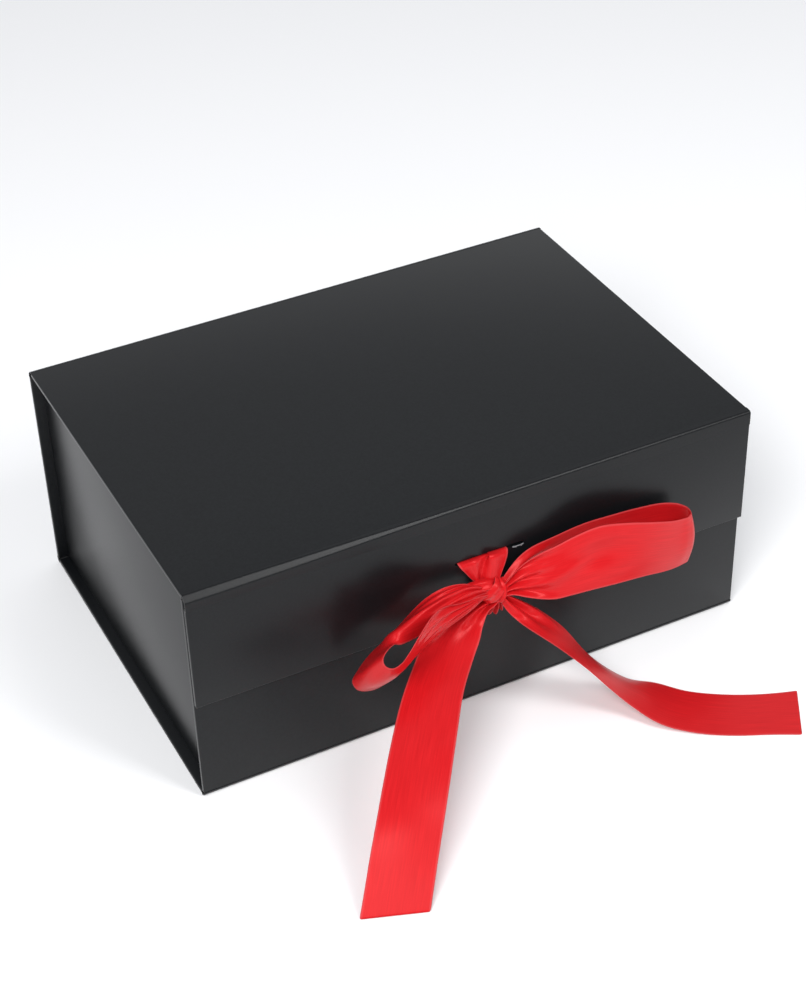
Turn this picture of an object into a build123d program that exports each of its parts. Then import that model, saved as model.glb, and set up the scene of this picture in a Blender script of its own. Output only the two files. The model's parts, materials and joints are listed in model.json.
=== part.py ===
from build123d import *
import os

# A collapsible gift box with a magnetic front flap and a ribbon bow.
# Millimetres. The origin is the centre of the base's underside, +Z is up and the flap faces -Y.

os.makedirs("parts", exist_ok=True)

# Driving dimensions
box_length = 228.0          # the case's panels, along X
box_depth = 157.5           # front wall's outer face to back wall's outer face
box_height = 95.0
board = 1.6                 # greyboard
paper = 0.15                # wrapping paper and lining paper
turn_in = 14.0              # wrapping paper folded over onto a panel's inner face
side_inset = 4.2            # from the case's end to a side wall's outer face
base_fold_play = 0.3        # how much wider than a panel's thickness each fold is, so that it can turn
back_fold_play = 1.1
front_fold_play = 0.7
front_crease_drop = 5.5     # fold between lid and flap, along Z
crease_paper = 0.3          # wrapping and lining paper together
flap_drop = 49.6            # box's top to the flap's lower edge
flap_gap = 0.4              # between flap and front wall, where the ribbon lies
lid_gap = 0.2               # between the lid and the walls under it
fit_gap = 0.1               # between pieces set side by side

magnet_radius = 5.0
magnet_thickness = 1.5
magnet_clearance = 0.1
magnet_spacing = 170.0      # centre to centre, along X
magnet_drop = 25.0          # box's top to the magnets' centres

slot_length = 28.5
slot_height = 1.4
slot_centre_x = 2.75
slot_drop = 24.9            # box's top to the slot's centre line

tab_width = 22.0            # end tabs of the side walls
tab_margin = 6.0            # tab's ends short of the side wall's height
tape_margin = 3.0           # tape's edges inside the tab's
tape_leg = 10.0             # each leg of the tape along a side wall's foot

ribbon = 0.4                # satin ribbon's body in these plain soft solids
thread = 0.2                # the ribbon pressed flat behind the flap
slot_strand_width = 21.0    # the 25 mm ribbon, pleated where it passes through the slot
slot_strand_margin = 0.9    # from the slot's end to the strand's edge
throat_width = 8.0          # the ribbon drawn together under the flap's lower edge
knot_radii = (5.5, 3.5, 4.8)
knot_centre_x = 2.8
knot_rise = 9.3             # knot's centre above the flap's lower edge
knot_clearance = 0.25       # between the knot's soft solid and the strands that enter it

# Worked out from them
panel = board + 2 * paper
base_crease = panel + base_fold_play            # radius of the folds at the base's long edges
back_crease = panel + back_fold_play            # radius of the fold between back wall and lid
front_crease_depth = panel + front_fold_play    # fold between lid and flap, along Y
half_length = box_length / 2
front_y = -box_depth / 2
back_y = box_depth / 2
flap_back_y = front_y - flap_gap
flap_front_y = flap_back_y - panel
lid_under_z = box_height - panel
wall_top_z = lid_under_z - lid_gap
flap_low_z = box_height - flap_drop
side_out_x = half_length - side_inset
side_in_x = side_out_x - panel
tab_thickness = 2 * paper
tab_stack = tab_thickness + fit_gap
side_end_y = box_depth / 2 - panel - tab_stack
slot_z = box_height - slot_drop
magnet_z = box_height - magnet_drop


def save(name, shape):
    """Write one piece, or one group of like pieces, as a STEP file."""
    export_step(shape, f"parts/{name}.step")


def block(low, high):
    """A box between two corners."""
    size = [b - a for a, b in zip(low, high)]
    middle = [(a + b) / 2 for a, b in zip(low, high)]
    return Pos(*middle) * Box(*size)


def pin_y(x, z, low_y, high_y, radius):
    """A round solid along Y."""
    turned = Rot(90, 0, 0) * Cylinder(radius, high_y - low_y)
    return Pos(x, (low_y + high_y) / 2, z) * turned


def wrapped_panel(name, low, high, thin, inner, slots=(), pockets=()):
    """Greyboard, the paper folded round its edges and the lining that fills the window between.

    thin is the axis through the panel, and inner is -1 or 1, the side the lining is on.
    """
    core_low = [a + paper for a in low]
    core_high = [b - paper for b in high]
    window_low = [a + turn_in for a in low]
    window_high = [b - turn_in for b in high]
    if inner > 0:
        window_low[thin], window_high[thin] = core_high[thin], high[thin]
    else:
        window_low[thin], window_high[thin] = low[thin], core_low[thin]
    core = block(core_low, core_high)
    lining = block(window_low, window_high)
    wrap = block(low, high) - core - lining
    for slot in slots:
        core -= slot
        lining -= slot
        wrap -= slot
    for pocket in pockets:
        core -= pocket
    save(f"{name}_board", core)
    save(f"{name}_wrap", wrap)
    save(f"{name}_lining", lining)


def crease(centre_y, centre_z, reach_y, reach_z, side_y, side_z):
    """A quarter-round strip of paper along X, on the side of its centre given by the two signs."""
    outer = Ellipse(reach_y, reach_z)
    hollow = Ellipse(reach_y - crease_paper, reach_z - crease_paper)
    quarter = Pos(side_y * reach_y / 2, side_z * reach_z / 2) * Rectangle(reach_y, reach_z)
    profile = (outer - hollow) & quarter
    middle = Plane(origin=(0, centre_y, centre_z), x_dir=(0, 1, 0), z_dir=(1, 0, 0))
    return extrude(middle * profile, half_length, both=True)


def triangle(a, b, c):
    """A flat three-cornered face."""
    return Face(Wire.make_polygon([a, b, c]))


def strand_rings(stations, thickness=ribbon):
    """The four corners of a ribbon's section at each station, from pairs of edge points."""
    edges = [(Vector(*a), Vector(*b)) for a, b in stations]
    middles = [(a + b) / 2 for a, b in edges]
    rings = []
    for n, (a, b) in enumerate(edges):
        along = middles[min(n + 1, len(edges) - 1)] - middles[max(n - 1, 0)]
        lift = along.cross(b - a).normalized() * (thickness / 2)
        rings.append([a + lift, b + lift, b - lift, a - lift])
    return rings


def strand_body(rings):
    """The closed faceted solid through a run of sections."""
    first, last = rings[0], rings[-1]
    faces = [triangle(first[0], first[1], first[2]), triangle(first[0], first[2], first[3])]
    faces += [triangle(last[2], last[1], last[0]), triangle(last[3], last[2], last[0])]
    for ring, following in zip(rings, rings[1:]):
        for n in range(4):
            beside = (n + 1) % 4
            faces.append(triangle(following[beside], ring[beside], ring[n]))
            faces.append(triangle(following[n], following[beside], ring[n]))
    return Solid(Shell(faces))


def strand(stations):
    """A strip of ribbon through pairs of edge points, one pair for each station along it."""
    return strand_body(strand_rings(stations))


# ---- the tray: base, front, back and two side walls

wrapped_panel(
    "base",
    (-half_length, front_y + base_crease, 0),
    (half_length, back_y - base_crease, panel),
    2, 1,
)

magnet_places = [-magnet_spacing / 2, magnet_spacing / 2]
pocket_radius = magnet_radius + magnet_clearance
wall_pockets = [
    pin_y(x, magnet_z, front_y, front_y + panel, pocket_radius) for x in magnet_places
]
wrapped_panel(
    "front",
    (-half_length, front_y, base_crease),
    (half_length, front_y + panel, wall_top_z),
    1, 1,
    pockets=wall_pockets,
)
wrapped_panel(
    "back",
    (-half_length, back_y - panel, base_crease),
    (half_length, back_y, box_height - back_crease),
    1, -1,
)
for side, sign in (("left", -1), ("right", 1)):
    near, far = sorted((sign * side_in_x, sign * side_out_x))
    wrapped_panel(
        side,
        (near, -side_end_y, panel),
        (far, side_end_y, wall_top_z),
        0, -sign,
    )

for name, sign in (("base_front_crease", -1), ("base_back_crease", 1)):
    centre_y = sign * (back_y - base_crease)
    save(name, crease(centre_y, base_crease, base_crease, base_crease, sign, -1))

# Each side wall stands on a folded tape and has two end tabs, taped to the front and back walls.
for side, sign in (("left", -1), ("right", 1)):
    foot, corner = sorted((sign * (side_in_x - tape_leg), sign * side_in_x))
    skin = sorted((sign * (side_in_x - paper), sign * side_in_x))
    flat = block((foot, -side_end_y, panel), (corner, side_end_y, panel + paper))
    upright = block(
        (skin[0], -side_end_y, panel),
        (skin[1], side_end_y, panel + tape_leg),
    )
    save(f"{side}_foot_tape", flat + upright)

    tabs = []
    tapes = []
    tab_low, tab_high = sorted((sign * (side_in_x - tab_width), sign * (side_out_x - fit_gap)))
    for end in (-1, 1):
        tab_y = sorted((end * side_end_y, end * (side_end_y + tab_thickness)))
        tape_y = sorted((end * (side_end_y + tab_thickness), end * (back_y - panel)))
        tab_z = (panel + tab_margin, wall_top_z - tab_margin)
        tabs.append(block((tab_low, tab_y[0], tab_z[0]), (tab_high, tab_y[1], tab_z[1])))
        tapes.append(
            block(
                (tab_low + tape_margin, tape_y[0], tab_z[0] + tape_margin),
                (tab_high - tape_margin, tape_y[1], tab_z[1] - tape_margin),
            )
        )
    save(f"{side}_end_tabs", Compound(tabs))
    save(f"{side}_tab_tapes", Compound(tapes))

wall_magnet_y = front_y + paper
wall_magnets = [
    pin_y(x, magnet_z, wall_magnet_y, wall_magnet_y + magnet_thickness, magnet_radius)
    for x in magnet_places
]
save("wall_magnets", Compound(wall_magnets))

# ---- the lid

wrapped_panel(
    "lid",
    (-half_length, flap_front_y + front_crease_depth, lid_under_z),
    (half_length, back_y - back_crease, box_height),
    2, -1,
)
back_strip = crease(
    back_y - back_crease, box_height - back_crease, back_crease, back_crease, 1, 1
)
save("lid_back_crease", back_strip)

# ---- the flap, with its slot for the ribbon and its magnets

slot = block(
    (slot_centre_x - slot_length / 2, flap_front_y - panel, slot_z - slot_height / 2),
    (slot_centre_x + slot_length / 2, front_y, slot_z + slot_height / 2),
)
flap_pockets = [
    pin_y(x, magnet_z, flap_front_y, flap_back_y, pocket_radius) for x in magnet_places
]
wrapped_panel(
    "flap",
    (-half_length, flap_front_y, flap_low_z),
    (half_length, flap_back_y, box_height - front_crease_drop),
    1, 1,
    slots=[slot],
    pockets=flap_pockets,
)
front_strip = crease(
    flap_front_y + front_crease_depth,
    box_height - front_crease_drop,
    front_crease_depth,
    front_crease_drop,
    -1, 1,
)
save("flap_crease", front_strip)

flap_magnet_y = flap_back_y - paper
flap_magnets = [
    pin_y(x, magnet_z, flap_magnet_y - magnet_thickness, flap_magnet_y, magnet_radius)
    for x in magnet_places
]
save("flap_magnets", Compound(flap_magnets))

# ---- the ribbon: through the slot, down behind the flap, round its lower edge and into the knot

thread_y = (flap_back_y + fit_gap / 2, flap_back_y + fit_gap / 2 + thread)
thread_low_x = slot_centre_x - slot_length / 2 + slot_strand_margin
thread_high_x = thread_low_x + slot_strand_width
thread_top_z = slot_z + ribbon
behind = Plane(origin=(0, thread_y[0], 0), x_dir=(1, 0, 0), z_dir=(0, -1, 0))
throat_low_x = knot_centre_x + 2.7 - throat_width / 2
throat_high_x = throat_low_x + throat_width
band = make_face(
    Polyline(
        (thread_low_x, thread_top_z),
        (thread_high_x, thread_top_z),
        (throat_high_x, flap_low_z),
        (throat_low_x, flap_low_z),
        close=True,
    )
)
save("ribbon_behind_flap", extrude(behind * band, -thread))

knot_y = flap_front_y - fit_gap - knot_radii[1]
knot_z = flap_low_z + knot_rise
drawn_knot = (2.8, -84.65, 54.7)    # the knot's centre where the loops and tails below were drawn


def beside_knot(stations):
    """A loop's stations, moved with the knot."""
    move = (knot_centre_x - drawn_knot[0], knot_y - drawn_knot[1], knot_z - drawn_knot[2])
    return [[tuple(c + m for c, m in zip(edge, move)) for edge in pair] for pair in stations]


def from_knot_to_floor(stations):
    """A tail's stations: it starts at the knot and comes down to the same floor as the box."""
    start_z = max(point[2] for point in stations[0])
    rise = (knot_z - drawn_knot[2]) / start_z
    moved = []
    for pair in stations:
        moved.append([
            (
                x + knot_centre_x - drawn_knot[0],
                y + knot_y - drawn_knot[1],
                z * (1 + rise),
            )
            for x, y, z in pair
        ])
    return moved


def knot_solid(grow=0.0):
    """The knot's rounded body, or the space round it that the strands stop at."""
    ball = Sphere(1.0)
    sized = scale(ball, by=tuple(r + grow for r in knot_radii))
    return Pos(knot_centre_x, knot_y, knot_z) * sized


save("ribbon_knot", knot_solid())
knot_space = knot_solid(knot_clearance)

throat = make_face(
    Polyline(
        (thread_y[1], flap_low_z),
        (thread_y[0], flap_low_z),
        (flap_back_y - panel * 0.4, flap_low_z - 3.2),
        (flap_front_y - 0.6, flap_low_z - 2.6),
        (flap_front_y - 2.0, flap_low_z + 2.0),
        (knot_y, knot_z - 3.0),
        (knot_y - 1.0, knot_z - 3.4),
        (flap_front_y - 2.7, flap_low_z + 1.4),
        (flap_front_y - 1.2, flap_low_z - 3.2),
        (flap_back_y - panel * 0.4, flap_low_z - 4.0),
        close=True,
    )
)
across = Plane(origin=(throat_low_x, 0, 0), x_dir=(0, 1, 0), z_dir=(1, 0, 0))
save("ribbon_throat", extrude(across * throat, throat_width) - knot_space)

# The strand that comes out of the slot is pleated and drawn down to the knot.
face_y = flap_front_y - fit_gap
in_slot = block(
    (thread_low_x, face_y, slot_z - ribbon / 2),
    (thread_high_x, thread_y[0], slot_z + ribbon / 2),
)
front = Plane(origin=(0, face_y, 0), x_dir=(1, 0, 0), z_dir=(0, -1, 0))
pleat = make_face(
    Polyline(
        (thread_low_x, slot_z + ribbon / 2),
        (thread_high_x, slot_z + ribbon / 2),
        (knot_centre_x + 4.0, knot_z),
        (knot_centre_x - 4.0, knot_z),
        close=True,
    )
)
save("ribbon_pleat", in_slot + extrude(front * pleat, 2 * ribbon) - knot_space)

left_loop = strand_rings(beside_knot([
    ((-1, -86, 56), (-1.5, -88.5, 58)),
    ((-9, -85, 62), (-11.5, -92, 65)),
    ((-25, -85, 60.5), (-26, -97, 70)),
    ((-38, -86, 54.7), (-37.1, -101, 70)),
    ((-49, -87.5, 49.5), (-45.2, -103, 67.5)),
    ((-57, -89.5, 41), (-52, -104.5, 61)),
    ((-52.5, -93, 37), (-49.5, -106, 56.5)),
    ((-41.3, -95.5, 42.6), (-43.4, -106.5, 59.6)),
    ((-24, -93.5, 52.6), (-35.3, -104, 66.6)),
    ((-9, -91, 55), (-19, -99, 65)),
    ((-2.5, -88.8, 54), (-5, -90.5, 58)),
]))
tip = 5     # the station where the left loop turns back
save("ribbon_left_loop_back", strand_body(left_loop[:tip + 1]) - knot_space)
save("ribbon_left_loop_front", strand_body(left_loop[tip:]) - knot_space)

right_loop = strand(beside_knot([
    ((6, -86, 60), (6, -86, 53)),
    ((17, -84.5, 67.5), (17, -84.5, 50)),
    ((29, -84, 70), (29, -84, 46)),
    ((53, -84, 71), (53, -84, 46)),
    ((77, -85, 68.5), (75, -85, 44)),
    ((85, -89, 62.5), (83.5, -89, 39)),
    ((78, -92.5, 65), (77, -92.5, 42)),
    ((53, -94.5, 73), (53, -95.5, 48)),
    ((36, -91, 73), (34.5, -95, 49.5)),
    ((19, -88.5, 68.5), (17.5, -92.5, 52)),
    ((8.5, -87, 60), (8.5, -88, 54)),
]))
save("ribbon_right_loop", right_loop - knot_space)

left_tail = strand(from_knot_to_floor([
    ((-2, -86, 51), (4, -88, 49.5)),
    ((-15, -85.5, 44.5), (-2, -90.5, 45)),
    ((-32, -88.5, 38.5), (-11, -95.5, 39)),
    ((-45, -103, 37), (-23.5, -110, 37)),
    ((-55.5, -115.5, 33), (-33.5, -123, 33)),
    ((-66.5, -129.5, 26), (-44, -137.5, 26)),
    ((-80, -146, 13), (-57, -154, 13)),
    ((-90, -158, 0.4), (-67, -166.5, 0.4)),
]))
save("ribbon_left_tail", left_tail - knot_space)

right_tail = strand(from_knot_to_floor([
    ((8, -86.5, 52), (5, -88.5, 50)),
    ((21, -88.5, 41.5), (8.5, -93, 45)),
    ((27, -91, 34.5), (10.5, -98.5, 43.5)),
    ((37.5, -96, 18), (20, -103, 34)),
    ((45, -99.5, 10), (28.5, -109, 25)),
    ((53, -101, 3.5), (37, -113, 14)),
    ((62, -104.5, 0.5), (43, -117, 7)),
    ((70, -114, 0.4), (50, -127, 2.6)),
    ((80, -121.5, 0.4), (60, -136, 0.4)),
    ((93, -128.5, 0.4), (77.5, -147.5, 0.4)),
    ((107, -134, 0.4), (94.5, -155, 0.4)),
]))
save("ribbon_right_tail", right_tail - knot_space)
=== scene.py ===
# %% [markdown]
# # A gift box with a ribbon bow
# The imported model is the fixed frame: it holds each panel, crease, magnet and ribbon strand at its real size.
# Everything below only gives those pieces their finish, or stands a better shaped mesh in the same place.

# %% Load the frame
import json
import math

import bmesh
import bpy
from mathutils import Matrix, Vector


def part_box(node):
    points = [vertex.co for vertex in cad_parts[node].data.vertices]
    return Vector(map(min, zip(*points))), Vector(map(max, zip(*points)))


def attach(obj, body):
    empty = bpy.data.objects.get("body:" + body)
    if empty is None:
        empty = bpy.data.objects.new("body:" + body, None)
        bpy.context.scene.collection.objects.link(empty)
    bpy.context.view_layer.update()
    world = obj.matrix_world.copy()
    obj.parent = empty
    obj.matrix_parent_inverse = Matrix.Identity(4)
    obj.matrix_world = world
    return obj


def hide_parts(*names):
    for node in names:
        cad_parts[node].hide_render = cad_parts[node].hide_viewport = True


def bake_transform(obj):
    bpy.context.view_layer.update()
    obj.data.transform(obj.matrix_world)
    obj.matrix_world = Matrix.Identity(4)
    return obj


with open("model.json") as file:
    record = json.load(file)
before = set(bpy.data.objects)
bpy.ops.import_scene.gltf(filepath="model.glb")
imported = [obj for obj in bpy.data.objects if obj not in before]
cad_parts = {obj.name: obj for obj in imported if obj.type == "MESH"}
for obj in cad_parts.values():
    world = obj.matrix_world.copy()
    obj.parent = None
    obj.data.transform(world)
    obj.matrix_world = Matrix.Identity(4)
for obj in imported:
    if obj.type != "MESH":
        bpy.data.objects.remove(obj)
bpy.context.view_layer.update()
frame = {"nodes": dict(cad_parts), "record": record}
nodes = frame["nodes"]

MM = 0.001


def deselect():
    """Clears the selection, because an operator acts on everything that is selected."""
    if bpy.context.mode != "OBJECT":
        bpy.ops.object.mode_set(mode="OBJECT")
    bpy.ops.object.select_all(action="DESELECT")


deselect()

# %% [markdown]
# ## Camera
# The box is seen from its left front, from above, with a long lens, so that its edges stay nearly parallel.
# The camera is placed by its direction from the middle of the box, and rolled a little.

# %% Camera
box_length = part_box("lid_wrap")[1][0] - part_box("lid_wrap")[0][0]
CAMERA_AZIMUTH = math.radians(-25.97)
CAMERA_ELEVATION = math.radians(37.02)
CAMERA_ROLL = math.radians(-1.79)
CAMERA_DISTANCE = 3.7025 * box_length
CAMERA_TARGET = Vector((0.0357, 0.0, 0.1696)) * box_length

towards_camera = Vector((
    math.sin(CAMERA_AZIMUTH) * math.cos(CAMERA_ELEVATION),
    -math.cos(CAMERA_AZIMUTH) * math.cos(CAMERA_ELEVATION),
    math.sin(CAMERA_ELEVATION),
))
bpy.ops.object.camera_add(location=CAMERA_TARGET + towards_camera * CAMERA_DISTANCE)
camera = bpy.context.object
camera.name = "camera"
look = (-towards_camera).to_track_quat("-Z", "Y")
camera.rotation_mode = "QUATERNION"
camera.rotation_quaternion = look
camera.rotation_mode = "XYZ"
camera.rotation_euler = (look.to_matrix() @ look.to_matrix().__class__.Rotation(CAMERA_ROLL, 3, "Z")).to_euler()
camera.data.lens = 76.25
camera.data.sensor_width = 36.0
camera.data.sensor_fit = "AUTO"
bpy.context.scene.camera = camera
print("camera at", [round(c, 3) for c in camera.location])

# %% [markdown]
# ## Floor and light
# A white sweep and two soft boxes, as a small product studio has. The key stands high on the left in front, so that
# shadows fall to the right. A tall narrow one in front on the right shows as a light band in the fold over the flap.
# The surround is dim grey in front and lighter behind, because a black satin lid mirrors what is behind it.

# %% Floor
FLOOR_SIZE = 6.0
bpy.ops.mesh.primitive_plane_add(size=FLOOR_SIZE, location=(0, 0, 0))
floor = bpy.context.object
floor.name = "floor"


def linear(hex_colour):
    """An sRGB hex colour as the linear values that a shader takes."""
    parts = [int(hex_colour[n:n + 2], 16) / 255 for n in (0, 2, 4)]
    return tuple(c / 12.92 if c <= 0.04045 else ((c + 0.055) / 1.055) ** 2.4 for c in parts) + (1.0,)


def new_material(name):
    """An empty node material with its output, and the node tree to build in."""
    material = bpy.data.materials.new(name)
    material.use_nodes = True
    tree = material.node_tree
    tree.nodes.clear()
    return material, tree


def add(tree, kind, links=None, **settings):
    """Adds one node. Settings are node properties or socket values; links are socket to source socket."""
    node = tree.nodes.new(kind)
    for key, value in settings.items():
        if hasattr(node, key):
            setattr(node, key, value)
        else:
            name = key.replace("_", " ")
            socket = node.inputs[int(key[1:])] if key[0] == "i" and key[1:].isdigit() else node.inputs[name]
            socket.default_value = value
    for key, source in (links or {}).items():
        tree.links.new(source, node.inputs[key])
    return node


floor_paper, tree = new_material("backdrop_paper_matt")
shader = add(tree, "ShaderNodeBsdfPrincipled", Base_Color=linear("fafafb"), Roughness=0.9)
add(tree, "ShaderNodeOutputMaterial", {"Surface": shader.outputs["BSDF"]})
floor.data.materials.append(floor_paper)


# %% Soft boxes
def soft_box(name, direction, distance, size, watts, colour=(1, 1, 1)):
    """A square area light that faces the box from a direction."""
    way = Vector(direction).normalized()
    bpy.ops.object.light_add(type="AREA", location=way * distance)
    lamp = bpy.context.object
    lamp.name = name
    lamp.data.shape = "RECTANGLE"
    lamp.data.size, lamp.data.size_y = size
    lamp.data.energy = watts
    lamp.data.color = colour
    lamp.rotation_euler = way.to_track_quat("Z", "Y").to_euler()
    return lamp


soft_box("key_soft_box", (-0.50, -0.52, 0.69), 1.7, (0.8, 0.7), 22.0)
soft_box("front_soft_box", (0.35, -0.63, 0.69), 1.6, (0.45, 0.9), 11.0)

world = bpy.data.worlds.new("studio_surround")
bpy.context.scene.world = world
world.use_nodes = True
surround = world.node_tree
surround.nodes.clear()
place = add(surround, "ShaderNodeTexCoord")
height = add(surround, "ShaderNodeSeparateXYZ", {0: place.outputs["Generated"]})
ramp = add(surround, "ShaderNodeValToRGB", {0: height.outputs["Z"]})
ramp.color_ramp.elements[0].position = 0.0
ramp.color_ramp.elements[0].color = (0.70, 0.71, 0.72, 1)
ramp.color_ramp.elements[1].position = 0.72
ramp.color_ramp.elements[1].color = (0.88, 0.90, 0.93, 1)
middle = ramp.color_ramp.elements.new(0.5)
middle.color = (0.48, 0.49, 0.51, 1)
behind = add(surround, "ShaderNodeMapRange", {"Value": height.outputs["Y"]},
             From_Min=-0.1, From_Max=0.5, To_Min=0.42, To_Max=1.0)
glow = add(surround, "ShaderNodeBackground", {"Color": ramp.outputs["Color"], "Strength": behind.outputs["Result"]})
add(surround, "ShaderNodeOutputWorld", {"Surface": glow.outputs["Background"]})
bpy.context.scene.view_settings.view_transform = "Standard"
bpy.context.scene.view_settings.look = "None"
print("lights and surround are up")

# %% [markdown]
# ## Black art paper
# The case is wrapped in black art paper with a thin satin lamination, stretched over greyboard while the glue is wet.
# To the eye it is nearly black, and all its light is a soft mirror of the room: the floor in the front wall, and what
# stands behind in the lid. A pigment colour almost at black with a thin gloss of IOR 1.31 gives that, and the gloss is
# blurred by a satin roughness. The board under the paper is never quite flat, so a broad, shallow wave bends the
# reflections a little.

# %% Wrapping paper
BOARD_WAVE_MM = 55.0        # length of the broad waves in the greyboard
PAPER_FIBRE_MM = 0.9        # clumps of fibre; real ones are near 0.3 mm and too fine to show, so they are drawn coarser


def per_metre(size_mm):
    """The noise scale that gives features of a size in millimetres, on coordinates in metres."""
    return 1000.0 / size_mm


wrap_paper, tree = new_material("art_paper_black_satin_laminated")
place = add(tree, "ShaderNodeTexCoord")
fibre = add(tree, "ShaderNodeTexNoise", {"Vector": place.outputs["Object"]},
            Scale=per_metre(PAPER_FIBRE_MM), Detail=3.0, Roughness=0.6)
wave = add(tree, "ShaderNodeTexNoise", {"Vector": place.outputs["Object"]},
           Scale=per_metre(BOARD_WAVE_MM), Detail=1.0, Roughness=0.4)
tint = add(tree, "ShaderNodeValToRGB", {0: fibre.outputs["Fac"]})
tint.color_ramp.elements[0].position = 0.35
tint.color_ramp.elements[0].color = linear("0e0f11")
tint.color_ramp.elements[1].position = 0.7
tint.color_ramp.elements[1].color = linear("141618")
gloss = add(tree, "ShaderNodeMapRange", {"Value": fibre.outputs["Fac"]}, To_Min=0.26, To_Max=0.34)
broad = add(tree, "ShaderNodeBump", {"Height": wave.outputs["Fac"]}, Strength=1.0, Distance=0.00012)
fine = add(tree, "ShaderNodeBump", {"Height": fibre.outputs["Fac"], "Normal": broad.outputs["Normal"]},
           Strength=0.5, Distance=0.000006)
shader = add(tree, "ShaderNodeBsdfPrincipled", {
    "Base Color": tint.outputs["Color"],
    "Roughness": gloss.outputs["Result"],
    "Normal": fine.outputs["Normal"],
}, IOR=1.31)
add(tree, "ShaderNodeOutputMaterial", {"Surface": shader.outputs["BSDF"]})
print("made", wrap_paper.name)

# %% Lining paper, greyboard, tape and magnet steel
# The lining is the same paper without its lamination: dead matt, with fibre that catches a little light.
lining_paper, tree = new_material("lining_paper_black_uncoated")
place = add(tree, "ShaderNodeTexCoord")
fibre = add(tree, "ShaderNodeTexNoise", {"Vector": place.outputs["Object"]},
            Scale=per_metre(PAPER_FIBRE_MM), Detail=5.0, Roughness=0.7)
tint = add(tree, "ShaderNodeValToRGB", {0: fibre.outputs["Fac"]})
tint.color_ramp.elements[0].color = linear("18191b")
tint.color_ramp.elements[1].color = linear("2a2b2e")
rough = add(tree, "ShaderNodeBump", {"Height": fibre.outputs["Fac"]}, Strength=0.6, Distance=0.00003)
shader = add(tree, "ShaderNodeBsdfPrincipled", {
    "Base Color": tint.outputs["Color"],
    "Normal": rough.outputs["Normal"],
}, Roughness=0.75, IOR=1.45)
add(tree, "ShaderNodeOutputMaterial", {"Surface": shader.outputs["BSDF"]})

# Greyboard is pressed from waste paper: warm grey, speckled with darker and lighter fibres.
greyboard, tree = new_material("greyboard_pressed_recycled")
place = add(tree, "ShaderNodeTexCoord")
speck = add(tree, "ShaderNodeTexNoise", {"Vector": place.outputs["Object"]},
            Scale=per_metre(1.2), Detail=6.0, Roughness=0.8)
tint = add(tree, "ShaderNodeValToRGB", {0: speck.outputs["Fac"]})
tint.color_ramp.elements[0].position = 0.3
tint.color_ramp.elements[0].color = linear("6f6a62")
tint.color_ramp.elements[1].position = 0.75
tint.color_ramp.elements[1].color = linear("9a9488")
rough = add(tree, "ShaderNodeBump", {"Height": speck.outputs["Fac"]}, Strength=0.7, Distance=0.00008)
shader = add(tree, "ShaderNodeBsdfPrincipled", {
    "Base Color": tint.outputs["Color"],
    "Normal": rough.outputs["Normal"],
}, Roughness=0.9)
add(tree, "ShaderNodeOutputMaterial", {"Surface": shader.outputs["BSDF"]})

# The tapes are transfer tape under a siliconed paper backing: pale, smooth and slightly glossy.
tape_paper, tree = new_material("glassine_backing_tape")
place = add(tree, "ShaderNodeTexCoord")
cloud = add(tree, "ShaderNodeTexNoise", {"Vector": place.outputs["Object"]},
            Scale=per_metre(6.0), Detail=3.0)
tint = add(tree, "ShaderNodeValToRGB", {0: cloud.outputs["Fac"]})
tint.color_ramp.elements[0].color = linear("b8ad92")
tint.color_ramp.elements[1].color = linear("cfc6ae")
shader = add(tree, "ShaderNodeBsdfPrincipled", {"Base Color": tint.outputs["Color"]}, Roughness=0.4, IOR=1.45)
add(tree, "ShaderNodeOutputMaterial", {"Surface": shader.outputs["BSDF"]})

# The magnets are sintered discs with bright nickel plating, tumbled, so their scratches run every way.
magnet_nickel, tree = new_material("nickel_plated_magnet_tumbled")
place = add(tree, "ShaderNodeTexCoord")
scuff = add(tree, "ShaderNodeTexNoise", {"Vector": place.outputs["Object"]},
            Scale=per_metre(0.8), Detail=4.0, Roughness=0.7)
shine = add(tree, "ShaderNodeMapRange", {"Value": scuff.outputs["Fac"]}, To_Min=0.18, To_Max=0.42)
shader = add(tree, "ShaderNodeBsdfPrincipled", {"Roughness": shine.outputs["Result"]},
             Base_Color=linear("c9c6c0"), Metallic=1.0)
add(tree, "ShaderNodeOutputMaterial", {"Surface": shader.outputs["BSDF"]})
print("made", len(bpy.data.materials), "materials so far")

# %% Finish for the pieces that keep their shape
finish_of = {
    "wrap_paper": wrap_paper,
    "lining_paper": lining_paper,
    "greyboard": greyboard,
    "adhesive_tape": tape_paper,
    "magnet": magnet_nickel,
}
slot_of = {piece["node"]: piece["material_slot"] for piece in frame["record"]["subparts"]}
for name, node in nodes.items():
    if slot_of[name] not in finish_of:
        continue
    if not node.material_slots:
        node.data.materials.append(finish_of[slot_of[name]])
    for holder in node.material_slots:
        holder.material = finish_of[slot_of[name]]
print("finished", len(nodes), "model pieces")

# %% [markdown]
# ## Wrapped panels
# A panel is greyboard with paper pulled round its edges, so no edge is sharp: the paper takes a radius near half a
# millimetre, and that radius is the fine bright line along the edges of the lid. Inside, the paper is folded over by
# 14 mm and a sheet of lining fills the window that is left. Each panel starts as a block of the panel's own size.
# Its edges are bevelled, and the window is inset and pushed in by the thickness of the lining.

# %% Panels
EDGE_RADIUS = 0.00045
TURN_IN = 0.014
bodies_of = {name: body for body, names in frame["record"]["behaviour"]["bodies"].items() for name in names}


def pick_faces(mesh, towards, level=None, reach=1e-5):
    """Selects, in edit mode, the faces that look one way, and only those at one level if it is given."""
    towards = Vector(towards)
    chosen = 0
    for face in mesh.faces:
        fits = face.normal.dot(towards) > 0.999
        if level is not None:
            fits = fits and abs(face.calc_center_median().dot(towards) - level) < reach
        face.select = fits
        chosen += fits
    return chosen


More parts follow.
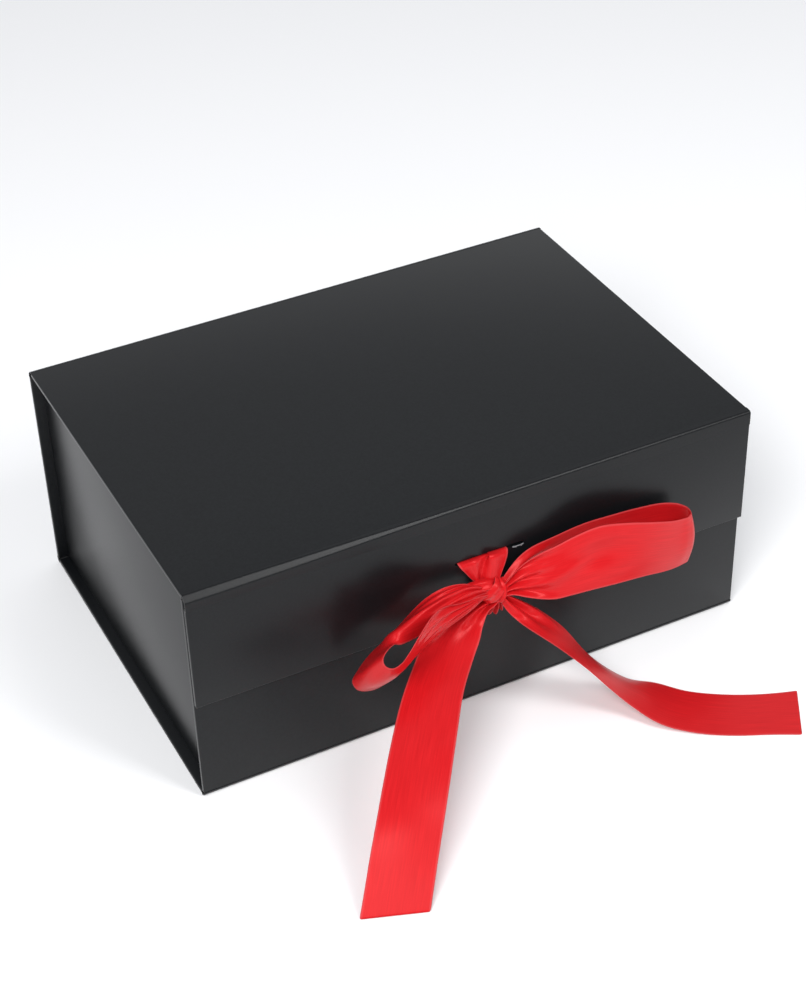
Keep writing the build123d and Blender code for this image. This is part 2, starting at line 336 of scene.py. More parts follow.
def wrapped(panel, inner):
    """A paper-wrapped panel in the place of one node. inner is the way that its lined side looks."""
    node = f"{panel}_wrap"
    low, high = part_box(node)
    deselect()
    bpy.ops.mesh.primitive_cube_add(size=1, location=(low + high) / 2)
    piece = bpy.context.object
    piece.name = f"{panel}_paper_wrap"
    piece.scale = high - low
    bpy.ops.object.transform_apply(location=True, rotation=True, scale=True)
    bpy.ops.object.mode_set(mode="EDIT")
    bpy.ops.mesh.select_all(action="SELECT")
    bpy.ops.mesh.bevel(offset=EDGE_RADIUS, segments=3, profile=0.5, affect="EDGES")
    mesh = bmesh.from_edit_mesh(piece.data)
    inner = Vector(inner)
    level = max(vert.co.dot(inner) for vert in mesh.verts)
    bpy.context.tool_settings.mesh_select_mode = (False, False, True)
    pick_faces(mesh, inner, level)
    bmesh.update_edit_mesh(piece.data)
    bpy.ops.mesh.inset(thickness=TURN_IN - EDGE_RADIUS)
    lining_low, lining_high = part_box(f"{panel}_lining")
    depth = abs((lining_high - lining_low).dot(inner))
    bpy.ops.mesh.extrude_region_move(TRANSFORM_OT_translate={"value": tuple(-inner * depth)})
    bpy.ops.object.mode_set(mode="OBJECT")
    bpy.ops.object.shade_smooth_by_angle(angle=math.radians(40))
    piece.data.materials.append(wrap_paper)
    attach(piece, bodies_of[node])
    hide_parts(node)
    return piece


inner_side = {
    "base": (0, 0, 1), "front": (0, 1, 0), "back": (0, -1, 0), "left": (1, 0, 0), "right": (-1, 0, 0),
    "lid": (0, 0, -1), "flap": (0, 1, 0),
}
panels = {panel: wrapped(panel, way) for panel, way in inner_side.items()}
for panel, piece in panels.items():
    print(piece.name, len(piece.data.polygons), "faces")

# %% [markdown]
# ## The slot in the flap
# The ribbon leaves the box through a slot punched in the flap. A punch leaves rounded ends, so the cutter is a block
# with its upright edges bevelled to half its height. A Boolean modifier takes it out of the flap and is applied.

# %% Punch the slot
board_low, board_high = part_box("flap_board")
SLOT_LENGTH = 0.0284
SLOT_HEIGHT = 0.00135
SLOT_CENTRE_X = 0.00275
slot_z = 0.0701

deselect()
bpy.ops.mesh.primitive_cube_add(
    size=1, location=(SLOT_CENTRE_X, (board_low.y + board_high.y) / 2, slot_z))
punch = bpy.context.object
punch.scale = (SLOT_LENGTH, 0.006, SLOT_HEIGHT)
bpy.ops.object.transform_apply(location=True, rotation=True, scale=True)
bpy.ops.object.mode_set(mode="EDIT")
bpy.context.tool_settings.mesh_select_mode = (False, True, False)
bpy.ops.mesh.select_all(action="DESELECT")
mesh = bmesh.from_edit_mesh(punch.data)
for edge in mesh.edges:
    run = (edge.verts[1].co - edge.verts[0].co).normalized()
    edge.select = abs(run.y) > 0.99
bmesh.update_edit_mesh(punch.data)
bpy.ops.mesh.bevel(offset=SLOT_HEIGHT * 0.49, segments=4, profile=0.5, affect="EDGES")
bpy.ops.object.mode_set(mode="OBJECT")

deselect()
flap_wrap = panels["flap"]
bpy.context.view_layer.objects.active = flap_wrap
flap_wrap.select_set(True)
cut = flap_wrap.modifiers.new("slot", "BOOLEAN")
cut.operation = "DIFFERENCE"
cut.solver = "EXACT"
cut.object = punch
bpy.ops.object.modifier_apply(modifier=cut.name)
bpy.data.objects.remove(punch)
bpy.ops.object.shade_smooth_by_angle(angle=math.radians(40))
print("flap with its slot:", len(flap_wrap.data.polygons), "faces")

# %% [markdown]
# ## Paper folds
# Between two panels there is no board, only the wrapping paper with the lining behind it, and this is the hinge.
# The fold between lid and flap is pressed to a slant with two soft corners; the one over the back wall is a rounder
# roll. Each is one strip of paper along the box, made from its profile, and it spans the gap between two panels.

# %% Folds
FOLD_PAPER = 0.0003


def fold_strip(name, node, profile, columns=24):
    """Paper along X through a profile of (y, z) points, in metres, thick enough for the paper and its lining."""
    low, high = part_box(node)
    mesh = bpy.data.meshes.new(name)
    build = bmesh.new()
    rows = []
    for n in range(columns + 1):
        x = low.x + (high.x - low.x) * n / columns
        rows.append([build.verts.new((x, y, z)) for y, z in profile(n / columns)])
    for row, following in zip(rows, rows[1:]):
        for n in range(len(row) - 1):
            build.faces.new((row[n], row[n + 1], following[n + 1], following[n]))
    build.to_mesh(mesh)
    build.free()
    piece = bpy.data.objects.new(name, mesh)
    bpy.context.scene.collection.objects.link(piece)
    deselect()
    bpy.context.view_layer.objects.active = piece
    piece.select_set(True)
    thick = piece.modifiers.new("paper", "SOLIDIFY")
    thick.thickness = FOLD_PAPER
    thick.offset = -1.0
    bpy.ops.object.modifier_apply(modifier=thick.name)
    bpy.ops.object.shade_smooth_by_angle(angle=math.radians(50))
    piece.data.materials.append(wrap_paper)
    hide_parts(node)
    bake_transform(piece)
    return piece


lid_low, lid_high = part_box("lid_wrap")
flap_low, flap_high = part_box("flap_wrap")
back_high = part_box("back_wrap")[1]


def rounded(points, corner, steps=5):
    """A profile of straight runs whose corners are rounded by a distance along each run."""
    smooth = [Vector(points[0])]
    for before, here, after in zip(points, points[1:], points[2:]):
        before, here, after = Vector(before), Vector(here), Vector(after)
        first = here + (before - here).normalized() * corner
        last = here + (after - here).normalized() * corner
        for n in range(steps + 1):
            t = n / steps
            smooth.append(first * (1 - t) ** 2 + here * 2 * t * (1 - t) + last * t ** 2)
    smooth.append(Vector(points[-1]))
    return [(p[0], p[1]) for p in smooth]


def front_profile(along):
    """The fold over the flap: slanted at its left end, and filling out to a closer corner towards the right."""
    full = min(1.0, max(0.0, (along - 0.03) / 0.50))
    full = full * full * (3 - 2 * full)
    top = (lid_low.y + EDGE_RADIUS, lid_high.z - 0.00002)
    foot = (flap_low.y + 0.00002, flap_high.z - EDGE_RADIUS)
    upper = (lid_low.y - 0.0002 - 0.0017 * full, lid_high.z - 0.00004)
    lower = (flap_low.y + 0.00003, lid_high.z - 0.0022 + 0.0014 * full)
    return rounded([top, upper, lower, foot], 0.0005)


def back_profile(along):
    """The roll over the back wall: a quarter round."""
    reach_y = back_high.y - lid_high.y
    reach_z = lid_high.z - back_high.z
    points = [(back_high.y - 0.00002, back_high.z - EDGE_RADIUS)]
    for n in range(13):
        turn = math.pi / 2 * n / 12
        points.append((
            lid_high.y + (reach_y - 0.00002) * math.cos(turn),
            back_high.z + (reach_z - 0.00002) * math.sin(turn),
        ))
    points.append((lid_high.y - EDGE_RADIUS, lid_high.z - 0.00002))
    return points


front_fold = fold_strip(
    "front_paper_fold", "flap_crease", front_profile)
back_fold = fold_strip(
    "back_paper_fold", "lid_back_crease", back_profile)
print("folds:", len(front_fold.data.polygons), "and", len(back_fold.data.polygons), "faces")

# %% [markdown]
# ## Satin ribbon
# The bow is tied from polyester satin ribbon, 25 mm wide, woven so that long threads float on its face. They all run
# along the ribbon, so it shines across its length in soft bands and its colour is deep where it turns away.
# A strongly coloured gloss with some anisotropy gives the bands, and fine streaks along the length give the threads.
# At each side a woven selvedge, about half a millimetre wide, is duller. A paler pink painted along it is a painted
# highlight for the thin light line it catches.

# %% Ribbon satin
RIBBON_WIDTH_MM = 25.0
THREAD_MM = 0.5             # real threads are about 0.12 mm; drawn coarser so that they show
SELVEDGE_MM = 0.6

satin, tree = new_material("polyester_satin_red_woven")
along = add(tree, "ShaderNodeUVMap", uv_map="ribbon")
stretch = add(tree, "ShaderNodeMapping", {"Vector": along.outputs["UV"]},
              Scale=(RIBBON_WIDTH_MM / THREAD_MM, 1.6, 1.0))
streak = add(tree, "ShaderNodeTexNoise", {"Vector": stretch.outputs["Vector"]},
             Scale=1.0, Detail=3.0, Roughness=0.6)
tint = add(tree, "ShaderNodeValToRGB", {0: streak.outputs["Fac"]})
tint.color_ramp.elements[0].position = 0.25
tint.color_ramp.elements[0].color = linear("b61318")
tint.color_ramp.elements[1].position = 0.8
tint.color_ramp.elements[1].color = linear("cb1c21")
across = add(tree, "ShaderNodeSeparateXYZ", {0: along.outputs["UV"]})
from_middle = add(tree, "ShaderNodeMath", {0: across.outputs["X"]}, operation="SUBTRACT", i1=0.5)
to_side = add(tree, "ShaderNodeMath", {0: from_middle.outputs["Value"]}, operation="ABSOLUTE")
selvedge_and_rim_highlight_mask = add(tree, "ShaderNodeMapRange", {"Value": to_side.outputs["Value"]},
               From_Min=0.5 - 1.6 * SELVEDGE_MM / RIBBON_WIDTH_MM, From_Max=0.5 - 0.8 * SELVEDGE_MM / RIBBON_WIDTH_MM)
# The paler pink mixed in along both selvedges is a painted highlight for the thin light line at the edges; the higher
# roughness there is the real duller weave.
woven_with_painted_rim_highlight = add(tree, "ShaderNodeMix", {
    "Factor": selvedge_and_rim_highlight_mask.outputs["Result"],
    6: tint.outputs["Color"],
}, data_type="RGBA", i7=linear("c0383b"))
dull = add(tree, "ShaderNodeMapRange", {"Value": selvedge_and_rim_highlight_mask.outputs["Result"]}, To_Min=0.30, To_Max=0.55)
silk = add(tree, "ShaderNodeBump", {"Height": streak.outputs["Fac"]}, Strength=0.35, Distance=0.00004)
shader = add(tree, "ShaderNodeBsdfPrincipled", {
    "Base Color": woven_with_painted_rim_highlight.outputs[2],
    "Roughness": dull.outputs["Result"],
    "Normal": silk.outputs["Normal"],
}, IOR=1.5, Anisotropic=0.5, Specular_Tint=linear("ff9090"))
add(tree, "ShaderNodeOutputMaterial", {"Surface": shader.outputs["BSDF"]})
print("made", satin.name)

# %% [markdown]
# ## Strips of ribbon
# A ribbon keeps its width, bends easily one way and hardly at all the other, so its shape is known from its two
# edges. Each strip is laid through rows of points, from one edge to the other, with a smooth curve through each
# row and each column. A row has two points where the ribbon is flat across, and more where it is creased along.
# Where a row is shorter than the ribbon is wide, the ribbon is gathered, and the spare width goes into pleats.
# Each strip then gets the thickness of the cloth and one level of subdivision.

# %% A strip through rows of points
CLOTH_THICKNESS_MM = 0.25


def curve_through(points, t):
    """A point on the smooth curve through a row of points; t runs from 0 to the last point's number."""
    n = min(int(t), len(points) - 2)
    part = t - n
    a, b = points[n], points[n + 1]
    before = points[n - 1] if n > 0 else a * 2 - b
    after = points[n + 2] if n + 2 < len(points) else b * 2 - a
    near, span, far = (a - before).length, (b - a).length, (after - b).length
    near, far = max(near, 1e-6), max(far, 1e-6)
    leave = ((b - a) / span * near + (a - before) / near * span) / (near + span) * span
    reach = ((after - b) / far * span + (b - a) / span * far) / (far + span) * span
    return (a * (2 * part ** 3 - 3 * part ** 2 + 1) + leave * (part ** 3 - 2 * part ** 2 + part)
            + b * (3 * part ** 2 - 2 * part ** 3) + reach * (part ** 3 - part ** 2))


def gather(width, waves, ribbon=RIBBON_WIDTH_MM):
    """How high pleats stand, in mm, when the ribbon's width is drawn into a narrower one."""
    if width >= ribbon:
        return 0.0
    return width / (math.pi * waves) * math.sqrt(ribbon / width - 1.0)


def across_row(points, side):
    """A point on the smooth line across one row of control points; side runs from 0 to 1 by length."""
    spans = [(q - p).length for p, q in zip(points, points[1:])]
    left = side * sum(spans)
    for n, span in enumerate(spans):
        if left <= span or n == len(spans) - 1:
            return curve_through(points, n + min(1.0, left / max(span, 1e-9)))
        left -= span


def strip(name, stations, shape=None, rows_per_span=6, columns=24):
    """A strip of ribbon through stations, each a row of 2 to 5 points from one edge to the other.

    shape(distance, side, width, length) gives how far a point stands off the plain strip, in mm.
    """
    sides = [[Vector(row[k]) for row in stations] for k in range(len(stations[0]))]
    rows = (len(stations) - 1) * rows_per_span
    lines = [[curve_through(side, n / rows_per_span) for side in sides] for n in range(rows + 1)]
    middles = [(line[0] + line[-1]) / 2 for line in lines]
    distance = [0.0]
    for before, here in zip(middles, middles[1:]):
        distance.append(distance[-1] + (here - before).length)
    mesh = bpy.data.meshes.new(name)
    build = bmesh.new()
    uv = build.loops.layers.uv.new("ribbon")
    grid = []
    for n, line in enumerate(lines):
        run = middles[min(n + 1, rows)] - middles[max(n - 1, 0)]
        chord = line[-1] - line[0]
        off = run.cross(chord).normalized()
        row = []
        for m in range(columns + 1):
            side = m / columns
            stand = shape(distance[n], side, chord.length, distance[-1]) if shape else 0.0
            row.append(build.verts.new((across_row(line, side) + off * stand) * MM))
        grid.append(row)
    for n in range(rows):
        for m in range(columns):
            corners = ((n, m), (n + 1, m), (n + 1, m + 1), (n, m + 1))
            face = build.faces.new([grid[i][j] for i, j in corners])
            for loop, (i, j) in zip(face.loops, corners):
                loop[uv].uv = (j / columns, distance[i] / RIBBON_WIDTH_MM)
    build.to_mesh(mesh)
    build.free()
    piece = bpy.data.objects.new(name, mesh)
    bpy.context.scene.collection.objects.link(piece)
    return piece, distance[-1] * MM


def cloth_body(piece):
    """Gives a strip its thickness and satin, and smooths it."""
    deselect()
    bpy.context.view_layer.objects.active = piece
    piece.select_set(True)
    cloth = piece.modifiers.new("cloth", "SOLIDIFY")
    cloth.thickness = CLOTH_THICKNESS_MM * MM
    cloth.offset = 0.0
    bpy.ops.object.modifier_apply(modifier=cloth.name)
    smooth = piece.modifiers.new("smooth", "SUBSURF")
    smooth.levels = smooth.render_levels = 1
    bpy.ops.object.modifier_apply(modifier=smooth.name)
    bpy.ops.object.shade_smooth()
    piece.data.materials.append(satin)


def finish_cloth(piece, length, replaced):
    cloth_body(piece)
    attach(piece, "flap")
    for node in replaced:
        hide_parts(node)
    print(f"{piece.name}: {length / MM:.0f} mm of ribbon, {len(piece.data.polygons)} faces")
    return piece


def ease(value, start, end):
    """0 before start, 1 after end, and smooth between."""
    t = min(1.0, max(0.0, (value - start) / (end - start)))
    return t * t * (3 - 2 * t)


# %% Left loop
# It leans out of the flap as a slanted cone. Its upper layer is creased lengthwise, and its near part turns down.
left_loop_rows = [
    ((-0.5, -85.4, 57.0), (-0.7, -86.4, 58.0), (-0.6, -87.6, 57.0)),
    ((-3.1, -85.6, 59.0), (-3.4, -87.4, 60.4), (-3.2, -88.8, 58.8)),
    ((-10.4, -84.8, 63.1), (-11.0, -89.0, 65.0), (-10.2, -91.4, 60.6)),
    ((-19.2, -84.6, 64.4), (-18.8, -90.2, 66.0), (-18.0, -93.4, 59.4)),
    ((-25.1, -84.8, 62.9), (-26.2, -92.2, 65.4), (-26.4, -94.9, 58.0)),
    ((-33.2, -85.3, 57.9), (-34.2, -94.7, 64.4), (-33.6, -96.3, 57.2)),
    ((-38.1, -86, 54.7), (-39.1, -96.4, 63.6), (-38.3, -98.0, 58.2)),
    ((-43.5, -86.5, 51.6), (-44.3, -98.2, 62.4), (-43.4, -100.3, 60.2)),
    ((-49.3, -87.5, 48.9), (-48.6, -98.0, 58.6), (-47.2, -102.6, 63.6)),
    ((-54.9, -88.5, 44.2), (-53.6, -97.2, 54.0), (-50.4, -104, 63.2)),
    ((-57.9, -89.5, 40.6), (-56.2, -97.5, 50.6), (-52.2, -104.5, 60.6)),
    ((-56.8, -91, 37.5), (-54.8, -99.2, 46.6), (-51.6, -105, 57.4)),
    ((-52.3, -93, 36.8), (-51.2, -100.8, 46.0), (-49.4, -106, 56.2)),
    ((-46.9, -94.5, 39.1), (-47.0, -101.6, 47.4), (-46.3, -106.3, 57.2)),
    ((-41.3, -95.5, 42.9), (-43.0, -102.2, 50.6), (-43.0, -106.0, 60.4)),
    ((-33.5, -95.5, 49.1), (-37.2, -101.8, 56.2), (-38.6, -105.0, 65.4)),
    ((-23.5, -93.5, 53.3), (-29.4, -99.2, 60.4), (-32.4, -101.6, 69.0)),
    ((-14.1, -91, 54.7), (-20.6, -95.6, 60.2), (-25.6, -96.6, 67.6)),
    ((-8.7, -89.5, 56.1), (-12.8, -92.4, 60.0), (-16.4, -93.2, 63.6)),
    ((-4.0, -88, 56.9), (-5.2, -89.4, 58.9), (-6.8, -90.0, 60.4)),
    ((-0.8, -86.8, 55.6), (-1.2, -87.8, 57.0), (-1.6, -88.2, 58.0)),
]


def left_loop_shape(distance, side, width, length):
    """Pleats at both ends, by the knot."""
    by_knot = 1 - ease(min(distance, length - distance), 10, 44)
    return min(gather(width, 4), 1.3) * by_knot * math.cos(2 * math.pi * 4 * side)


piece, length = strip("ribbon_loop_left", left_loop_rows, left_loop_shape, rows_per_span=5)
finish_cloth(piece, length, ["ribbon_left_loop_back", "ribbon_left_loop_front"])

# %% Right loop
# The long loop lies nearly flat along the flap, with its back layer standing a little higher than its front one.
right_loop_pairs = [
    ((4.5, -86.0, 57.5), (4.5, -86.0, 53.0)),
    ((7, -85.5, 60.2), (7, -85.6, 53.2)),
    ((16.8, -84.3, 67.9), (16.8, -84.5, 49.5)),
    ((28.8, -83.8, 70.2), (28.8, -83.8, 46)),
    ((40.6, -83.8, 71.5), (40.6, -83.8, 46.2)),
    ((52.6, -83.8, 71), (52.6, -83.8, 45.9)),
    ((64.4, -84.0, 70.2), (64, -84.2, 45.4)),
    ((76.5, -84.8, 68.5), (75.5, -85, 43.8)),
    ((81.8, -86, 66.6), (81.6, -86.2, 41.2)),
    ((84.2, -87.8, 64.9), (83.8, -88.2, 41.2)),
    ((84.2, -89.2, 64.1), (83.6, -90.0, 41.6)),
    ((82.4, -90.6, 63.9), (80.6, -91.4, 42.2)),
    ((78.3, -92, 65), (74.8, -92.9, 43.1)),
    ((64.2, -94.5, 70.5), (61, -95, 46.5)),
    ((52.3, -94, 74.2), (47.4, -95.6, 48.3)),
    ((41.9, -91.8, 75), (37.7, -95.3, 49.2)),
    ((33.0, -90, 72.6), (29.7, -94.6, 49.4)),
    ((26.1, -88.7, 70.1), (23.7, -93.7, 49.5)),
    ((19.8, -88.2, 69), (18.2, -92.4, 50.9)),
    ((12.5, -87.3, 66), (13.2, -91, 52.9)),
    ((7.6, -86.8, 61), (8.0, -88.8, 54.6)),
    ((4.8, -86.6, 57.8), (4.8, -87.6, 54.2)),
]


def right_loop_shape(distance, side, width, length):
    """Pleats that fan out from the knot, and one soft dent across the front layer."""
    to_end = length - distance
    by_knot = 1 - ease(min(distance, to_end), 5, 30)
    pleats = min(gather(width, 3), 1.4) * by_knot * math.cos(2 * math.pi * 3 * side)
    dent = -2.4 * math.exp(-((to_end - 40) / 10) ** 2 - ((side - 0.45) / 0.22) ** 2)
    fold = 1.4 * math.exp(-((to_end - 22) / 10) ** 2 - ((side - 0.62 + 0.004 * to_end) / 0.12) ** 2)
    tip = math.exp(-((distance - 0.49 * length) / 9) ** 2)
    crown = (0.7 + 1.3 * tip) * math.sin(math.pi * side) * (1 - by_knot)
    return pleats + dent + fold + crown


piece, length = strip("ribbon_loop_right", right_loop_pairs, right_loop_shape, rows_per_span=5)
finish_cloth(piece, length, ["ribbon_right_loop"])

# %% Left tail
# It springs out of the knot, arches over and comes down to the table in front of the box.
left_tail_pairs = [
    ((3.0, -85.4, 54.0), (4.6, -86.4, 52.6)),
    ((-2.6, -85.0, 53.4), (1.5, -86.8, 50.4)),
    ((-12, -84.9, 51.0), (-2.4, -88.6, 49.4)),
    ((-21, -85.4, 47.4), (-5.3, -90.6, 46.0)),
    ((-28.6, -87.4, 43.8), (-8.2, -94.0, 43.8)),
    ((-35.0, -92.6, 40.6), (-13.2, -98.6, 40.8)),
    ((-45.4, -103.4, 37.4), (-23.8, -110.2, 37.4)),
    ((-55.6, -115.7, 33), (-33.3, -123.2, 33)),
    ((-66.7, -129.7, 26), (-44, -137.6, 26)),
    ((-72.7, -137.2, 21), (-49.9, -145.2, 21)),
    ((-80, -145.8, 13), (-57.1, -154, 13)),
    ((-85.9, -152.9, 6), (-63, -161.2, 6)),
    ((-90.3, -158, 0.35), (-67.3, -166.4, 0.35)),
]


def left_tail_shape(distance, side, width, length):
    """Pleats by the knot, then a slight cup that dies out towards the cut end."""
    by_knot = 1 - ease(distance, 5, 32)
    pleats = min(gather(width, 2), 1.2) * by_knot * math.cos(2 * math.pi * 2 * side)
    cup = 0.8 * math.sin(math.pi * side) * ease(distance, 8, 40) * (1 - ease(distance, length - 40, length - 4))
    return pleats + cup


piece, length = strip("ribbon_tail_left", left_tail_pairs, left_tail_shape, rows_per_span=5)
finish_cloth(piece, length, ["ribbon_left_tail"])

# %% Right tail
# It turns over once on its way down, and lies flat on the table for its last third.
right_tail_pairs = [
    ((6.6, -86.0, 53.6), (4.6, -87.4, 52.2)),
    ((9.5, -86.3, 51.4), (5.2, -88.6, 50.0)),
    ((21, -88.5, 41.5), (8.5, -93, 45)),
    ((27, -91, 34.5), (10.8, -98.3, 43.2)),
    ((37.5, -96, 18), (20, -103, 34)),
    ((45, -99.5, 10), (28.5, -109, 25)),
    ((53, -101.5, 3.6), (37, -113, 14)),
    ((62, -104.5, 0.5), (43, -117, 7)),
    ((70, -114, 0.35), (50, -127, 2.6)),
    ((79, -121, 0.35), (59, -135, 0.9)),
    ((90, -127.3, 0.35), (72, -143.4, 0.35)),
    ((101, -132, 0.35), (84.6, -149.6, 0.35)),
    ((107, -134, 0.35), (94.5, -155, 0.35)),
]


def right_tail_shape(distance, side, width, length):
    """Pleats by the knot, and a shallow cup on the way down."""
    by_knot = 1 - ease(distance, 5, 28)
    pleats = min(gather(width, 2), 1.2) * by_knot * math.cos(2 * math.pi * 2 * side)
    cup = -1.0 * math.sin(math.pi * side) * ease(distance, 10, 35) * (1 - ease(distance, 55, 85))
    return pleats + cup


piece, length = strip("ribbon_tail_right", right_tail_pairs, right_tail_shape, rows_per_span=5)
finish_cloth(piece, length, ["ribbon_right_tail"])

# %% Strand out of the slot
# The ribbon comes out of the slot flat, is folded once on itself, and is drawn down into the knot.
pleat_rows = [
    ((-10.4, -79.9, 70.0), (-4.0, -79.9, 70.0), (4.0, -79.95, 70.0), (2.2, -80.2, 70.3), (9.8, -80.2, 70.1)),
    ((-10.5, -81.5, 70.1), (-4.3, -81.6, 70.5), (3.2, -81.5, 70.3), (1.8, -82.0, 70.9), (9.8, -81.8, 70.2)),
    ((-10.4, -82.2, 69.7), (-4.4, -82.7, 70.6), (1.8, -82.1, 70.0), (1.3, -83.0, 70.8), (9.5, -82.6, 69.5)),
    ((-8.4, -83.0, 66.6), (-4.4, -83.9, 67.0), (-0.4, -82.7, 66.6), (0.5, -84.1, 67.0), (7.9, -83.8, 66.1)),
    ((-5.9, -83.5, 62.9), (-4.2, -84.6, 62.7), (-2.2, -83.4, 61.8), (-0.1, -85.0, 62.2), (5.3, -84.7, 60.9)),
    ((-2.2, -84.6, 59.0), (-1.2, -85.4, 58.8), (0.2, -84.8, 58.2), (1.4, -85.6, 58.6), (4.4, -85.2, 57.6)),
]
piece, length = strip("ribbon_strand_from_slot", pleat_rows, rows_per_span=6, columns=40)
finish_cloth(piece, length, ["ribbon_pleat"])

# %% Strand behind the flap and under its edge
# The other end of the same ribbon goes down behind the flap, pressed flat, and comes up round the lower edge.
behind_rows = [
    ((-10.6, -79.30, 70.0), (-0.1, -79.30, 70.0), (10.4, -79.30, 70.0)),
    ((-10.4, -78.99, 68.8), (0.0, -78.99, 68.8), (10.4, -78.99, 68.8)),
    ((-9.6, -78.99, 60.0), (1.2, -78.99, 60.0), (12.0, -78.99, 60.0)),
    ((-8.0, -78.99, 52.0), (2.6, -78.99, 52.0), (13.2, -78.99, 52.0)),
    ((-5.6, -79.00, 46.2), (4.4, -79.00, 46.0), (13.6, -79.00, 46.2)),
    ((-2.6, -79.8, 44.4), (4.7, -79.9, 43.4), (11.6, -79.8, 44.4)),
    ((0.2, -81.5, 43.6), (4.8, -81.6, 42.4), (9.0, -81.5, 43.4)),
    ((1.0, -83.0, 45.6), (4.5, -83.6, 45.0), (7.8, -83.0, 45.2)),
    ((1.9, -84.2, 48.8), (4.2, -84.9, 49.0), (6.3, -84.2, 48.6)),
    ((2.6, -84.8, 52.0), (4.0, -85.4, 52.4), (5.4, -84.8, 52.0)),
]


def behind_shape(distance, side, width, length):
    """Flat behind the flap; pleats deepen from its edge to the knot."""
    return 0.95 * (1 - ease(length - distance, 9.0, 13.5)) * math.cos(2 * math.pi * 3 * side)


CLOTH_THICKNESS_MM = 0.16       # pressed between flap and wall, for this strand only
piece, length = strip("ribbon_behind_flap_strand", behind_rows, behind_shape, rows_per_span=6, columns=48)
finish_cloth(piece, length, ["ribbon_behind_flap", "ribbon_throat"])
CLOTH_THICKNESS_MM = 0.25

# %% [markdown]
# ## Knot
# In a tied bow the ribbon passes over itself two or three times in a space of 10 mm, crushed into pleats. It is too
# tight to lay as one strip, so the core is a small round body pushed into creases that run to its middle, and over
# it lie three short pleated bands where the real one shows them.

# %% Knot
knot_low, knot_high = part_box("ribbon_knot")
knot_middle = (knot_low + knot_high) / 2
knot_half = (knot_high - knot_low) / 2
deselect()
bpy.ops.mesh.primitive_uv_sphere_add(segments=72, ring_count=36, radius=1, location=(0, 0, 0))
knot = bpy.context.object
knot.name = "ribbon_knot_tied"
CREASES = 8
for vert in knot.data.vertices:
    way = vert.co.normalized()
    turn = math.atan2(way.z, way.x)
    out = math.hypot(way.x, way.z)
    crease = abs(math.sin(turn * CREASES / 2 + 1.6 * out + 0.5 * math.sin(3 * turn)))
    squeeze = 0.86 + 0.16 * crease * ease(out, 0.05, 0.55) - 0.10 * (1 - ease(out, 0.0, 0.4))
    vert.co = knot_middle + Vector((c * h for c, h in zip(way * squeeze, knot_half)))
knot.data.uv_layers[0].name = "ribbon"
bpy.ops.object.shade_smooth()
knot.data.materials.append(satin)

band_rows = {
    "ribbon_knot_band_main": [
        ((-4.6, -84.0, 55.4), (-3.2, -84.4, 53.6), (-1.6, -84.0, 51.4)),
        ((-4.4, -86.8, 57.2), (-2.6, -87.8, 54.8), (-0.6, -87.0, 52.4)),
        ((-2.0, -88.2, 59.4), (0.4, -89.3, 57.0), (2.8, -88.6, 54.4)),
        ((1.0, -87.6, 61.2), (3.0, -88.7, 59.0), (5.0, -88.2, 56.4)),
        ((2.8, -85.2, 62.0), (4.4, -85.8, 60.4), (6.0, -85.4, 58.4)),
    ],
    "ribbon_knot_band_over": [
        ((-8.2, -84.3, 62.6), (-7.6, -86.4, 62.2), (-6.8, -87.4, 60.2)),
        ((-4.0, -84.6, 62.8), (-3.6, -87.0, 62.4), (-3.4, -88.2, 60.0)),
        ((-0.4, -84.6, 62.2), (-0.2, -87.0, 61.8), (-0.2, -88.2, 59.6)),
        ((2.4, -84.2, 60.8), (2.4, -86.0, 60.4), (2.4, -87.0, 58.6)),
    ],
    "ribbon_knot_band_side": [
        ((2.0, -85.0, 50.6), (3.8, -85.6, 50.2), (5.6, -85.0, 50.8)),
        ((2.6, -87.6, 52.6), (4.4, -88.4, 52.4), (6.4, -87.0, 53.0)),
        ((3.8, -88.4, 56.0), (5.4, -88.8, 56.0), (7.2, -87.0, 56.4)),
        ((4.4, -86.8, 59.4), (5.8, -87.0, 59.2), (7.0, -85.6, 58.6)),
        ((4.4, -84.2, 60.4), (5.4, -84.4, 60.2), (6.6, -83.8, 59.6)),
    ],
}


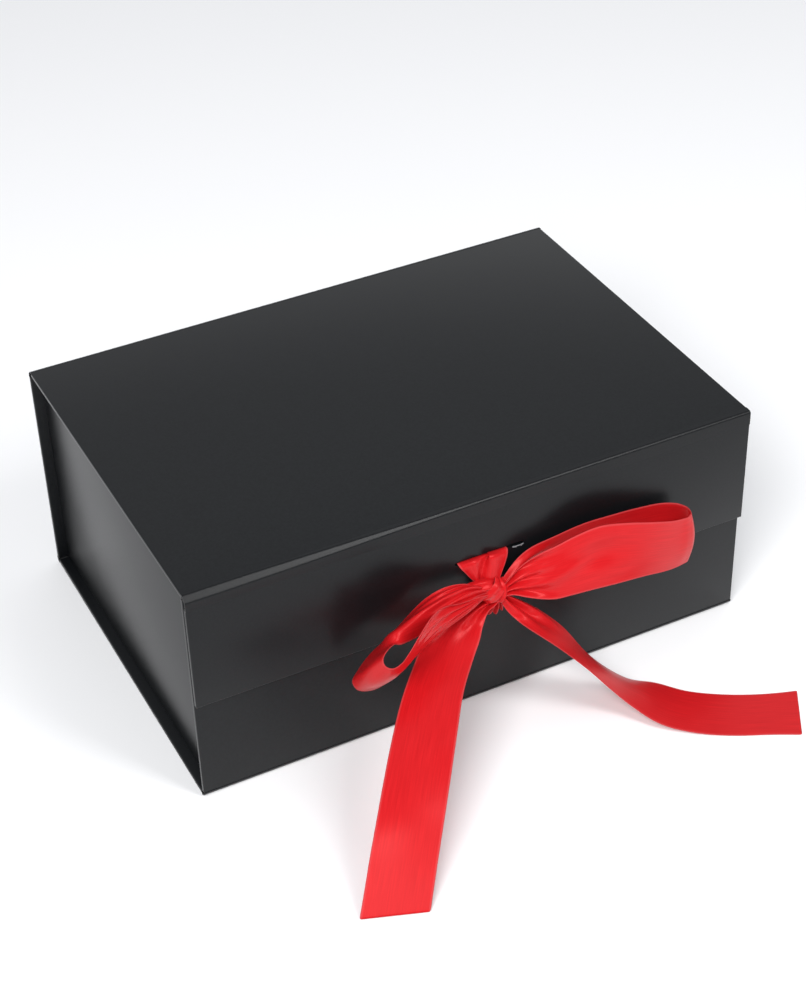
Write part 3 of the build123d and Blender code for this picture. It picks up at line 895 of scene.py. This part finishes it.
def band_shape(distance, side, width, length):
    """Two narrow pleats along a band."""
    return 0.26 * math.cos(2 * math.pi * 1.5 * side + 0.10 * distance)


pieces_of_knot = [knot]
for name, rows in band_rows.items():
    band, length = strip(name, rows, band_shape, rows_per_span=7, columns=26)
    cloth_body(band)
    pieces_of_knot.append(band)
deselect()
for piece in pieces_of_knot:
    piece.select_set(True)
bpy.context.view_layer.objects.active = knot
bpy.ops.object.join()
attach(knot, "flap")
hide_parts("ribbon_knot")
print("knot:", len(knot.data.polygons), "faces")

# %% [markdown]
# ## Slot lip
# The slot is cut through the wrapped board, and the black paper along its lower edge has torn a little. The grey of
# the paper's core shows there as a thin rough sliver. A flat strip is subdivided and its points are moved, and it
# gets a paper's thickness.

# %% Slot lip
LIP_LEFT_MM = 12.2              # left end of the sliver
LIP_LENGTH_MM = 4.6
SLOT_LOWER_EDGE_MM = 70.0 - 0.55
deselect()
bpy.ops.mesh.primitive_grid_add(x_subdivisions=24, y_subdivisions=3, size=1, location=(0, 0, 0))
lip = bpy.context.object
lip.name = "slot_torn_paper_lip"
for vert in lip.data.vertices:
    along_lip, down = vert.co.x + 0.5, 0.5 - vert.co.y
    ragged = 0.45 + 0.25 * math.sin(17 * along_lip) * math.sin(9 * along_lip + 1)
    height = 1.5 * math.sin(math.pi * (0.08 + 0.84 * along_lip)) * ragged
    out = flap_low.y / MM - 0.12 - 0.35 * (1 - down) * math.sin(math.pi * along_lip)
    vert.co = Vector((
        LIP_LEFT_MM + LIP_LENGTH_MM * along_lip,
        out,
        SLOT_LOWER_EDGE_MM - height * down + 0.18 * (1 - down),
    )) * MM
paper_thickness = lip.modifiers.new("paper", "SOLIDIFY")
paper_thickness.thickness = 0.12 * MM
bpy.ops.object.modifier_apply(modifier=paper_thickness.name)
torn, tree = new_material("paper_torn_grey_fibre")
shader = add(tree, "ShaderNodeBsdfPrincipled", Base_Color=linear("8b8d90"), Roughness=0.9)
add(tree, "ShaderNodeOutputMaterial", {"Surface": shader.outputs["BSDF"]})
lip.data.materials.append(torn)
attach(lip, "flap")
print("slot lip:", len(lip.data.polygons), "faces")
